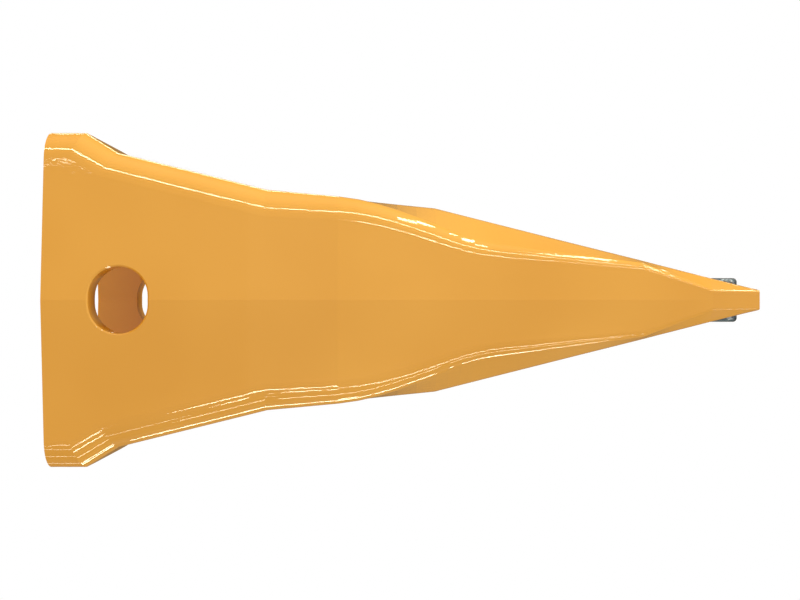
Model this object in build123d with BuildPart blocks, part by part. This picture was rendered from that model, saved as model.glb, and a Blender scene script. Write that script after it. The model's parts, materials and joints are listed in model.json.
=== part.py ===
from build123d import *
import math
import os

os.makedirs("parts", exist_ok=True)

# Bucket tooth tip, in millimetres. The origin is the centre of the socket mouth,
# +X runs from the mouth to the digging edge, Y is across the bucket and +Z is up.
# The body is the same above and below the parting plane Z = 0, and left and right of Y = 0.

# Overall form
tip_length = 243.6  # socket mouth to digging edge
socket_width = 93.0  # across the two parting ridges
lip_height = 115.0  # over both stop lips
draft_angle = 5.0  # lean of the sides, away from the parting plane

# Stop lips round the mouth, with the ramp in front of each
lip_length = 12.0
lip_lean = 20.0  # degrees, of the lip's front edge as it runs down over the rounding
ramp_length = 11.2
ramp_lean = 29.0  # the same, of the foot of the ramp
neck_height = 101.1  # over the roofs, at the front of the ramps

# Shoulder, where the steep roofs over the socket meet the flatter crown
shoulder_distance = 74.4  # from the mouth
shoulder_height = 75.6

# Crown, the raised middle of each digging face, and the wedge that it runs into
wedge_distance = 132.4  # from the mouth to the start of the wedge
wedge_height = 64.1  # over both roofs, at the start of the wedge
crown_back_rise = 0.1  # of the crown over the roof beside it, up to the shoulder
crown_rise = 0.9  # the same, at the start of the wedge
crown_edge_rise = 0.5  # the same, at the digging edge
crown_back_width = 40.0  # over the socket
crown_waist_width = 29.0  # at the start of the wedge
crown_edge_width = 56.0  # at the digging edge
crown_ease = 2.4  # length of each half of the rounding along the crown's edge

# Rims, which roll down beside the crown and then run low along the blade
roll_distance = 99.0  # from the mouth to where the rims leave the roofs
roll_length = 55.0
rim_roll_drop = 8.7  # of the rims below the roof, at the end of the roll
rim_front_drop = 1.2  # the same, where the blade starts to narrow

# Digging edge and the straight flats behind its corners
edge_thickness = 6.6
edge_width = 66.0
edge_flat_length = 16.0  # upright flat behind each corner
edge_narrow_length = 24.0  # over which the sides narrow down to the flats

# Sides in plan
side_straight_length = 69.0  # over the socket, parallel
side_turn_distance = 98.5  # from the mouth to where the main taper starts
side_turn_inset = 1.0  # of each side, there

# Rounding between the sides and the roofs
lip_round = 11.4
socket_round = 10.8
roll_round = 9.3
wedge_round = 7.9
blade_round = 5.9
narrow_round = 2.6
flat_round = 1.1
edge_round = 0.7

# Socket for the adapter nose
side_wall = 10.5
mouth_height = 90.0
seat_distance = 86.0  # from the mouth to the level seat at the nose end
seat_height = 39.0
seat_length = 24.0
seat_corner = 4.0  # bevel round the end of the seat
socket_side_lean = 1.2  # degrees, each side in plan
socket_corner_round = 6.0
mouth_chamfer = 0.8

# Pin hole, through both side walls
pin_hole_distance = 25.7  # from the mouth
pin_hole_width = 20.0
pin_hole_height = 22.6
pin_hole_chamfer = 0.5

# Hard-metal wear plates, let into both faces of the blade
plate_length = 15.5
plate_width = 20.0
plate_setback = 1.4  # from the digging edge
plate_seat_depth = 0.8  # below the corner of the digging edge
plate_sink = 0.3  # below the blade's face, at the plate's back
plate_corner = 2.5
plate_round = 1.4
plate_gap = 0.1  # filled with braze

# Number of sections in each half of the rims' roll
roll_sections = 5

# Slack for finding edges by their place
edge_slack = 0.1

ramp_end = lip_length + ramp_length
socket_depth = seat_distance + seat_length
roll_end = roll_distance + roll_length
flat_start = tip_length - edge_flat_length
narrow_start = flat_start - edge_narrow_length


def along(x, *points):
    """Height of a line of straight runs through the points (x, height)."""
    for (x0, h0), (x1, h1) in zip(points, points[1:]):
        if x <= x1:
            return h0 + (h1 - h0) * (x - x0) / (x1 - x0)
    return points[-1][1]


def roof(x):
    """Half height of the roof beside its rounding."""
    return along(
        x,
        (0, lip_height / 2),
        (lip_length, lip_height / 2),
        (ramp_end, neck_height / 2),
        (shoulder_distance, shoulder_height / 2),
        (wedge_distance, wedge_height / 2),
        (tip_length, edge_thickness / 2),
    )


def crown(x):
    """Half height of the crown, on the middle of the roof."""
    return roof(x) + along(
        x,
        (0, crown_back_rise),
        (shoulder_distance, crown_back_rise),
        (wedge_distance, crown_rise),
        (tip_length, crown_edge_rise),
    )


def crown_side(x):
    """Half width of the crown."""
    return along(
        x,
        (0, crown_back_width / 2),
        (roll_distance, crown_back_width / 2),
        (wedge_distance, crown_waist_width / 2),
        (tip_length, crown_edge_width / 2),
    )


def rim(x):
    """Half height of the sharp corner that the rounding between side and roof replaces."""
    roll_height = roof(roll_end) - rim_roll_drop
    front_height = roof(narrow_start) - rim_front_drop
    fall = (roll_height - front_height) / (narrow_start - roll_end)
    low = along(
        x,
        (0, roll_height + fall * roll_end),
        (narrow_start, front_height),
        (flat_start, edge_thickness / 2),
        (tip_length, edge_thickness / 2),
    )
    travel = min(max((x - roll_distance) / roll_length, 0), 1)
    roll = travel * travel * (3 - 2 * travel)
    return roof(x) + (low - roof(x)) * roll


def side(x):
    """Half width at the parting ridge."""
    return along(
        x,
        (0, socket_width / 2),
        (side_straight_length, socket_width / 2),
        (side_turn_distance, socket_width / 2 - side_turn_inset),
        (flat_start, edge_width / 2),
        (tip_length, edge_width / 2),
    )


def draft(x):
    """Lean of the side from upright, as a slope. The flats behind the edge are upright."""
    return math.tan(math.radians(along(x, (0, draft_angle), (narrow_start, draft_angle), (flat_start, 0))))


def rounding(x):
    """Radius between the side and the roof."""
    return along(
        x,
        (0, lip_round),
        (lip_length, lip_round),
        (ramp_end, socket_round),
        (shoulder_distance, socket_round),
        (roll_distance, roll_round),
        (wedge_distance, wedge_round),
        (roll_end, blade_round),
        (narrow_start, narrow_round),
        (flat_start, flat_round),
        (tip_length, edge_round),
    )


def body_section(x, lean=0):
    """Upper half of the body's section: ridge, leaning side, rounding, flank, crown.

    The section's plane leans back below the roof by the lean, in degrees.
    """
    tilt = math.radians(lean)
    plane = Plane((x, 0, roof(x)), x_dir=(0, 1, 0), z_dir=(math.cos(tilt), 0, -math.sin(tilt)))
    ridge_level = -roof(x) / math.cos(tilt)
    rim_level = (rim(x) - roof(x)) / math.cos(tilt)
    crown_level = (crown(x) - roof(x)) / math.cos(tilt)
    rim_side = side(x) - rim(x) * draft(x)
    flank_fall = math.atan2(crown(x) - rim(x), rim_side - crown_side(x))
    crown_round = crown_ease / math.tan(flank_fall / 2)
    with BuildSketch(plane) as section:
        with BuildLine():
            FilletPolyline(
                (-side(x), ridge_level),
                (-rim_side, rim_level),
                (-crown_side(x), crown_level),
                (crown_side(x), crown_level),
                (rim_side, rim_level),
                (side(x), ridge_level),
                radius=[rounding(x), crown_round, crown_round, rounding(x)],
            )
            Line((side(x), ridge_level), (-side(x), ridge_level))
        make_face()
    return section


def socket_section(x, half_height, spread):
    """Upper half of the socket's section, with the same parting ridge as the sides."""
    lean = math.tan(math.radians(socket_side_lean))
    ridge = socket_width / 2 - side_wall - x * lean + spread
    corner = ridge - half_height * math.tan(math.radians(draft_angle))
    with BuildSketch(Plane.YZ.offset(x)) as section:
        with BuildLine():
            FilletPolyline(
                (-ridge, 0),
                (-corner, half_height),
                (corner, half_height),
                (ridge, 0),
                radius=[socket_corner_round, socket_corner_round],
            )
            Line((ridge, 0), (-ridge, 0))
        make_face()
    return section


def on_hole_rim(edge):
    """Whether an edge runs round the outer end of the pin hole, on either side."""
    middle = edge.position_at(0.5)
    from_axis = math.hypot(middle.X - pin_hole_distance, middle.Z)
    wall_middle = (socket_width - side_wall) / 2
    return from_axis < pin_hole_height / 2 + edge_slack and abs(middle.Y) > wall_middle


def plate_outline(height, gap):
    """Plan outline of a wear plate, or of its pocket, at a height above the parting plane."""
    with BuildSketch(Plane.XY.offset(height)) as outline:
        with Locations((tip_length - plate_setback - plate_length / 2, 0)):
            RectangleRounded(plate_length + 2 * gap, plate_width + 2 * gap, plate_corner + gap)
    return outline


roll_places = [
    roll_distance + (wedge_distance - roll_distance) * step / roll_sections
    for step in range(roll_sections)
]
roll_places += [
    wedge_distance + (roll_end - wedge_distance) * step / roll_sections
    for step in range(roll_sections)
]
body_places = [
    side_straight_length,
    shoulder_distance,
    *roll_places,
    roll_end,
    narrow_start,
    flat_start,
    tip_length,
]

# Socket: a taper, a level seat for the nose, and a bevelled end
socket_stations = [
    (0, mouth_height / 2 + mouth_chamfer, mouth_chamfer),
    (mouth_chamfer, mouth_height / 2, 0),
    (seat_distance, seat_height / 2, 0),
    (socket_depth - seat_corner, seat_height / 2, 0),
    (socket_depth, seat_height / 2 - seat_corner, -seat_corner),
]

plate_back = tip_length - plate_setback - plate_length
plate_floor = edge_thickness / 2 - plate_seat_depth
plate_top = crown(plate_back) - plate_sink

# Profiles of the body, from behind the mouth to the edge, and of the socket, all above the parting plane
body_profiles = [
    body_section(-lip_length, lip_lean).sketch,
    body_section(lip_length, lip_lean).sketch,
    body_section(ramp_end, ramp_lean).sketch,
    *[body_section(x).sketch for x in body_places],
]
socket_profiles = [socket_section(*station).sketch for station in socket_stations]

with BuildSketch(Plane.XZ) as pin_hole:
    with Locations((pin_hole_distance, 0)):
        SlotCenterToCenter(pin_hole_height - pin_hole_width, pin_hole_width, rotation=90)

# Wear plate in the upper face
with BuildPart() as wear_plate_upper:
    extrude(plate_outline(plate_floor, 0).sketch, amount=plate_top - plate_floor)
    fillet(wear_plate_upper.faces().sort_by(Axis.Z)[-1].edges(), plate_round)

# Pocket that takes it, open upwards
with BuildPart() as plate_pocket:
    extrude(plate_outline(plate_floor, plate_gap).sketch, amount=lip_height)

# Body, one forging
with BuildPart() as tip_body:
    loft(body_profiles, ruled=True)
    split(bisect_by=Plane.YZ, keep=Keep.TOP)
    loft(socket_profiles, ruled=True, mode=Mode.SUBTRACT)
    add(plate_pocket.part, mode=Mode.SUBTRACT)
    extrude(pin_hole.sketch, amount=socket_width, both=True, mode=Mode.SUBTRACT)
    chamfer(tip_body.edges().filter_by(on_hole_rim), pin_hole_chamfer)
    mirror(about=Plane.XY)

# Wear plate in the lower face
with BuildPart() as wear_plate_lower:
    mirror(wear_plate_upper.part, about=Plane.XY)

tip_body.part.label = "tip_body"
export_step(tip_body.part, "parts/tip_body.step")
wear_plate_upper.part.label = "wear_plate_upper"
export_step(wear_plate_upper.part, "parts/wear_plate_upper.step")
wear_plate_lower.part.label = "wear_plate_lower"
export_step(wear_plate_lower.part, "parts/wear_plate_lower.step")
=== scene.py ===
import json
import math

import bpy
from mathutils import Matrix, Vector


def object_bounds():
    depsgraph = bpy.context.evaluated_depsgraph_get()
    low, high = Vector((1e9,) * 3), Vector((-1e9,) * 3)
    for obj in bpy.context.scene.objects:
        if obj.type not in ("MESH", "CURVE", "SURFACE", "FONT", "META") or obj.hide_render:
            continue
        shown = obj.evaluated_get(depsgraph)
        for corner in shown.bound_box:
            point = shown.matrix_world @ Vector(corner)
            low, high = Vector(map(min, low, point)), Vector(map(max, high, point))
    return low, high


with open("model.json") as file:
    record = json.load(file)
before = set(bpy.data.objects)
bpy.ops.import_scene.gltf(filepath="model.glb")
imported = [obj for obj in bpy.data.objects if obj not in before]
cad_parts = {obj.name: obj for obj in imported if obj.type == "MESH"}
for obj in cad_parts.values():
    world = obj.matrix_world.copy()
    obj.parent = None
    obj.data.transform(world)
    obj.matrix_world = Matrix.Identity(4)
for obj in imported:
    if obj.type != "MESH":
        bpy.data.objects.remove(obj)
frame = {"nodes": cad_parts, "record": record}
cad_low, cad_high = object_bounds()

# The camera looks level along +Y, at the side with the pin hole
focal_px = 1300
image_width_px = 800
sensor_mm = 36.0
metres_per_px = 0.001 / 3
camera_x = 0.11995
near_ridge_y = cad_low[1]

# Studio: the lamps stand on an arc round the object, at an angle up from the camera's side.
# 90 degrees is straight above, 180 is level behind the object, and below 0 is below the object.
object_middle = (0.12, 0.0, 0.0)
lamp_distance = 1.2
# Narrow strips, which are only mirrored, as thin lines on the paint: name, X and angle of one end,
# X and angle of the other, height in degrees as the object sees it, and brightness
strips = [
    ("strip_high_rear", -0.6, 63, 0.05, 44.5, 2.8, 30),
    ("strip_high_front", 0.06, 47, 1.0, 60, 2.8, 26),
    ("strip_low_rear", -0.6, 20, 0.15, 16.5, 0.9, 16),
    ("strip_low_front", 0.3, 23, 1.0, 30, 1.6, 24),
    ("strip_behind_rear", -0.6, 140, 0.1, 150, 2.5, 12),
    ("strip_beyond_tip", 0.60, 160, 0.93, 122, 0.5, 6),
    ("strip_over_tip", 0.545, 74, 0.565, 112, 1.6, 24),
    ("strip_over_shoulder", 0.86, 60, 0.92, 104, 2.0, 14),
    ("strip_below_1_lip", -0.6, -31, -0.15, -34, 2.0, 7),
    ("strip_below_1_roof", -0.04, -37, 0.16, -38, 3.0, 26),
    ("strip_below_2_lip", -0.6, -45, -0.18, -48, 2.0, 7),
    ("strip_below_2_roof", -0.1, -68, 0.06, -65, 1.6, 10),
    ("strip_below_2_ramp", 0.07, -52, 0.16, -53, 2.5, 26),
    ("strip_below_2_front", 0.30, -47, 0.66, -65, 2.5, 18),
    ("strip_below_3_rear", -0.6, -81, -0.06, -76, 2.0, 9),
    ("strip_below_3_front", 0.08, -77, 0.66, -80, 2.5, 15),
    ("strip_below_4_lip", -0.6, -117, -0.1, -117, 2.0, 7),
    ("strip_below_4_roof", 0.0, -118, 0.54, -121, 3.0, 24),
    ("strip_below_4_ramp", 0.22, -110, 0.30, -111, 3.0, 24),
]
strip_colour = (1.0, 0.93, 0.72)
# Broad soft lamps, which the paint doesn't mirror: name, X, angle and brightness
fill_size = (1.6, 1.2)
fills = [
    ("fill_overhead", 0.12, 90, 0.8),
    ("fill_overhead_front", 1.3, 90, 3.0),
    ("fill_back", 0.12, 180, 1.1),
    ("fill_below", 0.12, -90, 0.15),
    ("fill_below_front", 1.3, -90, 1.6),
]
# Brightness of the room at angles on the lamps' arc, and how warm its light is, from 0 to 1
world_strength = 0.96
studio_tones = [
    (-180, 0.2, 1.0),
    (-150, 0.5, 0.8),
    (-130, 0.5, 0.6),
    (-115, 0.6, 0.0),
    (-90, 0.5, 0.0),
    (-45, 0.8, 0.0),
    (0, 1.0, 0.0),
    (60, 1.0, 0.0),
    (90, 1.1, 0.0),
    (110, 0.8, 0.0),
    (130, 0.55, 0.6),
    (150, 0.55, 0.8),
    (180, 0.2, 1.0),
]
# Behind the socket's end the room is warm too, from this X of a direction on
warm_from = 0.0
warm_tint = (1.0, 0.6, 0.22)
backdrop_radius = 8.0
floor_height = -0.5

# Paint, in linear colours; scales are blotches in a metre and depths are metres
paint_deep = (0.72, 0.342, 0.033)
paint_pale = (0.76, 0.373, 0.042)
patch_scale = 22
skin_scale = 160
skin_depth = 0.00003
peel_scale = 900
peel_depth = 0.00001

# Hard metal
metal_dark = (0.03, 0.045, 0.055)
metal_middle = (0.10, 0.13, 0.15)
metal_bright = (0.5, 0.55, 0.58)
mottle_scale = 420
mottle_depth = 0.0006


def set_camera():
    data = bpy.data.cameras.new("camera")
    data.sensor_width = sensor_mm
    data.lens = sensor_mm * focal_px / image_width_px
    data.clip_start = 0.01
    data.clip_end = 50
    camera = bpy.data.objects.new("camera", data)
    bpy.context.scene.collection.objects.link(camera)
    camera.location = (camera_x, near_ridge_y - focal_px * metres_per_px, 0)
    camera.rotation_euler = (math.radians(90), 0, 0)
    bpy.context.scene.camera = camera


def on_arc(angle, x=object_middle[0], distance=lamp_distance):
    """A place on the lamps' arc, at an angle in degrees up from the camera's side."""
    turn = math.radians(angle)
    return (x, -distance * math.cos(turn), distance * math.sin(turn))


def lamp(name, at, towards, width, height, radiance, glossy=True):
    """A flat lamp that the camera doesn't see. Where glossy is off, it isn't mirrored either."""
    data = bpy.data.lights.new(name, "AREA")
    data.shape = "RECTANGLE"
    data.size = width
    data.size_y = height
    data.energy = radiance * math.pi * width * height
    light = bpy.data.objects.new(name, data)
    bpy.context.scene.collection.objects.link(light)
    light.location = at
    light.rotation_euler = (Vector(towards) - Vector(at)).to_track_quat("-Z", "Y").to_euler()
    light.visible_camera = False
    light.visible_glossy = glossy
    return light


def strip(name, x_from, angle_from, x_to, angle_to, spread, radiance):
    """A long narrow lamp between two places on the arc, which the paint mirrors as a thin line."""
    start = Vector(on_arc(angle_from, x_from))
    end = Vector(on_arc(angle_to, x_to))
    middle = (start + end) / 2
    height = 2 * lamp_distance * math.tan(math.radians(spread / 2))
    light = lamp(name, middle, (middle.x, 0, 0), (end - start).length, height, radiance)
    along = (end - start).normalized()
    across = Vector((0, middle.y, middle.z)).cross(along).normalized()
    light.rotation_euler = Matrix((along, across, along.cross(across))).transposed().to_euler()
    light.data.color = strip_colour
    light.visible_diffuse = False
    return light


def set_world(tones):
    """Light from all round, as (angle on the lamps' arc, brightness, warmth)."""
    world = bpy.data.worlds.new("studio")
    bpy.context.scene.world = world
    world.use_nodes = True
    nodes = world.node_tree.nodes
    links = world.node_tree.links
    direction = nodes.new("ShaderNodeTexCoord")
    split = nodes.new("ShaderNodeSeparateXYZ")
    links.new(direction.outputs["Generated"], split.inputs["Vector"])
    towards_camera = nodes.new("ShaderNodeMath")
    towards_camera.operation = "MULTIPLY"
    towards_camera.inputs[1].default_value = -1
    links.new(split.outputs["Y"], towards_camera.inputs[0])
    angle = nodes.new("ShaderNodeMath")
    angle.operation = "ARCTAN2"
    links.new(split.outputs["Z"], angle.inputs[0])
    links.new(towards_camera.outputs[0], angle.inputs[1])
    share = nodes.new("ShaderNodeMapRange")
    share.inputs["From Min"].default_value = -math.pi
    share.inputs["From Max"].default_value = math.pi
    links.new(angle.outputs[0], share.inputs["Value"])
    ramp = nodes.new("ShaderNodeValToRGB")
    links.new(share.outputs["Result"], ramp.inputs["Fac"])
    stops = ramp.color_ramp.elements
    while len(stops) > 1:
        stops.remove(stops[-1])
    for number, (place, tone, warm) in enumerate(tones):
        at = (place + 180) / 360
        stop = stops[0] if number == 0 else stops.new(at)
        stop.position = at
        stop.color = (*[tone * (1 - warm + warm * part) for part in warm_tint], 1)
    warmth = nodes.new("ShaderNodeMapRange")
    warmth.inputs["From Min"].default_value = warm_from
    warmth.inputs["From Max"].default_value = -1
    links.new(split.outputs["X"], warmth.inputs["Value"])
    tint = nodes.new("ShaderNodeMix")
    tint.data_type = "RGBA"
    tint.blend_type = "MULTIPLY"
    tint.inputs["B"].default_value = (*warm_tint, 1)
    links.new(warmth.outputs["Result"], tint.inputs["Factor"])
    links.new(ramp.outputs["Color"], tint.inputs["A"])
    background = nodes["Background"]
    links.new(tint.outputs["Result"], background.inputs["Color"])
    background.inputs["Strength"].default_value = world_strength


def new_material(name):
    """A material, with its node tree and its shader."""
    material = bpy.data.materials.new(name)
    material.use_nodes = True
    return material, material.node_tree, material.node_tree.nodes["Principled BSDF"]


def noise(tree, scale, detail=2.0, roughness=0.5, distortion=0.0):
    """Noise in the object's own space, scale being the number of blotches in a metre."""
    place = tree.nodes.new("ShaderNodeTexCoord")
    texture = tree.nodes.new("ShaderNodeTexNoise")
    texture.inputs["Scale"].default_value = scale
    texture.inputs["Detail"].default_value = detail
    texture.inputs["Roughness"].default_value = roughness
    texture.inputs["Distortion"].default_value = distortion
    tree.links.new(place.outputs["Object"], texture.inputs["Vector"])
    return texture.outputs["Fac"]


def shades(tree, value, *stops):
    """Colours along a value, as (value, colour)."""
    ramp = tree.nodes.new("ShaderNodeValToRGB")
    tree.links.new(value, ramp.inputs["Fac"])
    elements = ramp.color_ramp.elements
    elements.remove(elements[-1])
    for number, (place, colour) in enumerate(stops):
        element = elements[0] if number == 0 else elements.new(place)
        element.position = place
        element.color = (*colour, 1)
    return ramp.outputs["Color"]


def bump(tree, height, depth, under=None):
    """A bump of a depth in metres, over another bump if one is given."""
    node = tree.nodes.new("ShaderNodeBump")
    node.inputs["Distance"].default_value = depth
    tree.links.new(height, node.inputs["Height"])
    if under is not None:
        tree.links.new(under, node.inputs["Normal"])
    return node.outputs["Normal"]


def paint():
    """Glossy orange-yellow paint over a forged skin."""
    material, tree, shader = new_material("orange_paint")
    tone = shades(tree, noise(tree, patch_scale, detail=1.0), (0.35, paint_deep), (0.65, paint_pale))
    tree.links.new(tone, shader.inputs["Base Color"])
    skin = bump(tree, noise(tree, skin_scale, detail=3.0), skin_depth)
    peel = bump(tree, noise(tree, peel_scale), peel_depth, skin)
    tree.links.new(skin, shader.inputs["Normal"])
    tree.links.new(peel, shader.inputs["Coat Normal"])
    shader.inputs["Roughness"].default_value = 0.5
    shader.inputs["Specular IOR Level"].default_value = 0.0
    shader.inputs["Coat Weight"].default_value = 1.0
    shader.inputs["Coat Roughness"].default_value = 0.03
    return material


def hard_metal():
    """Dark cast hard metal, mottled and rough."""
    material, tree, shader = new_material("hard_metal")
    mottle = noise(tree, mottle_scale, detail=6.0, roughness=0.65, distortion=0.4)
    tone = shades(tree, mottle, (0.3, metal_dark), (0.5, metal_middle), (0.7, metal_bright))
    tree.links.new(tone, shader.inputs["Base Color"])
    tree.links.new(bump(tree, mottle, mottle_depth), shader.inputs["Normal"])
    shader.inputs["Metallic"].default_value = 1.0
    shader.inputs["Roughness"].default_value = 0.38
    return material


def backdrop():
    """White floor that curves up into a white dome all round. It only shows to the camera."""
    material = bpy.data.materials.new("backdrop_white")
    material.use_nodes = True
    nodes = material.node_tree.nodes
    glow = nodes.new("ShaderNodeEmission")
    glow.inputs["Color"].default_value = (1, 1, 1, 1)
    material.node_tree.links.new(glow.outputs["Emission"], nodes["Material Output"].inputs["Surface"])
    bpy.ops.mesh.primitive_uv_sphere_add(segments=64, ring_count=32, radius=backdrop_radius)
    shell = bpy.context.object
    shell.name = "backdrop"
    for vertex in shell.data.vertices:
        vertex.co.z = max(vertex.co.z, floor_height)
    shell.data.materials.append(material)
    shell.visible_diffuse = False
    shell.visible_glossy = False
    shell.visible_transmission = False
    shell.visible_volume_scatter = False
    shell.visible_shadow = False


set_camera()
set_world(studio_tones)
backdrop()
bpy.context.scene.view_settings.view_transform = "Standard"

finishes = {"painted_steel": paint(), "hard_metal": hard_metal()}
for subpart in frame["record"]["subparts"]:
    node = frame["nodes"][subpart["node"]]
    node.data.materials.clear()
    node.data.materials.append(finishes[subpart["material_slot"]])

for settings in strips:
    strip(*settings)
for name, x, angle, radiance in fills:
    lamp(name, on_arc(angle, x), object_middle, fill_size[0], fill_size[1], radiance, glossy=False)
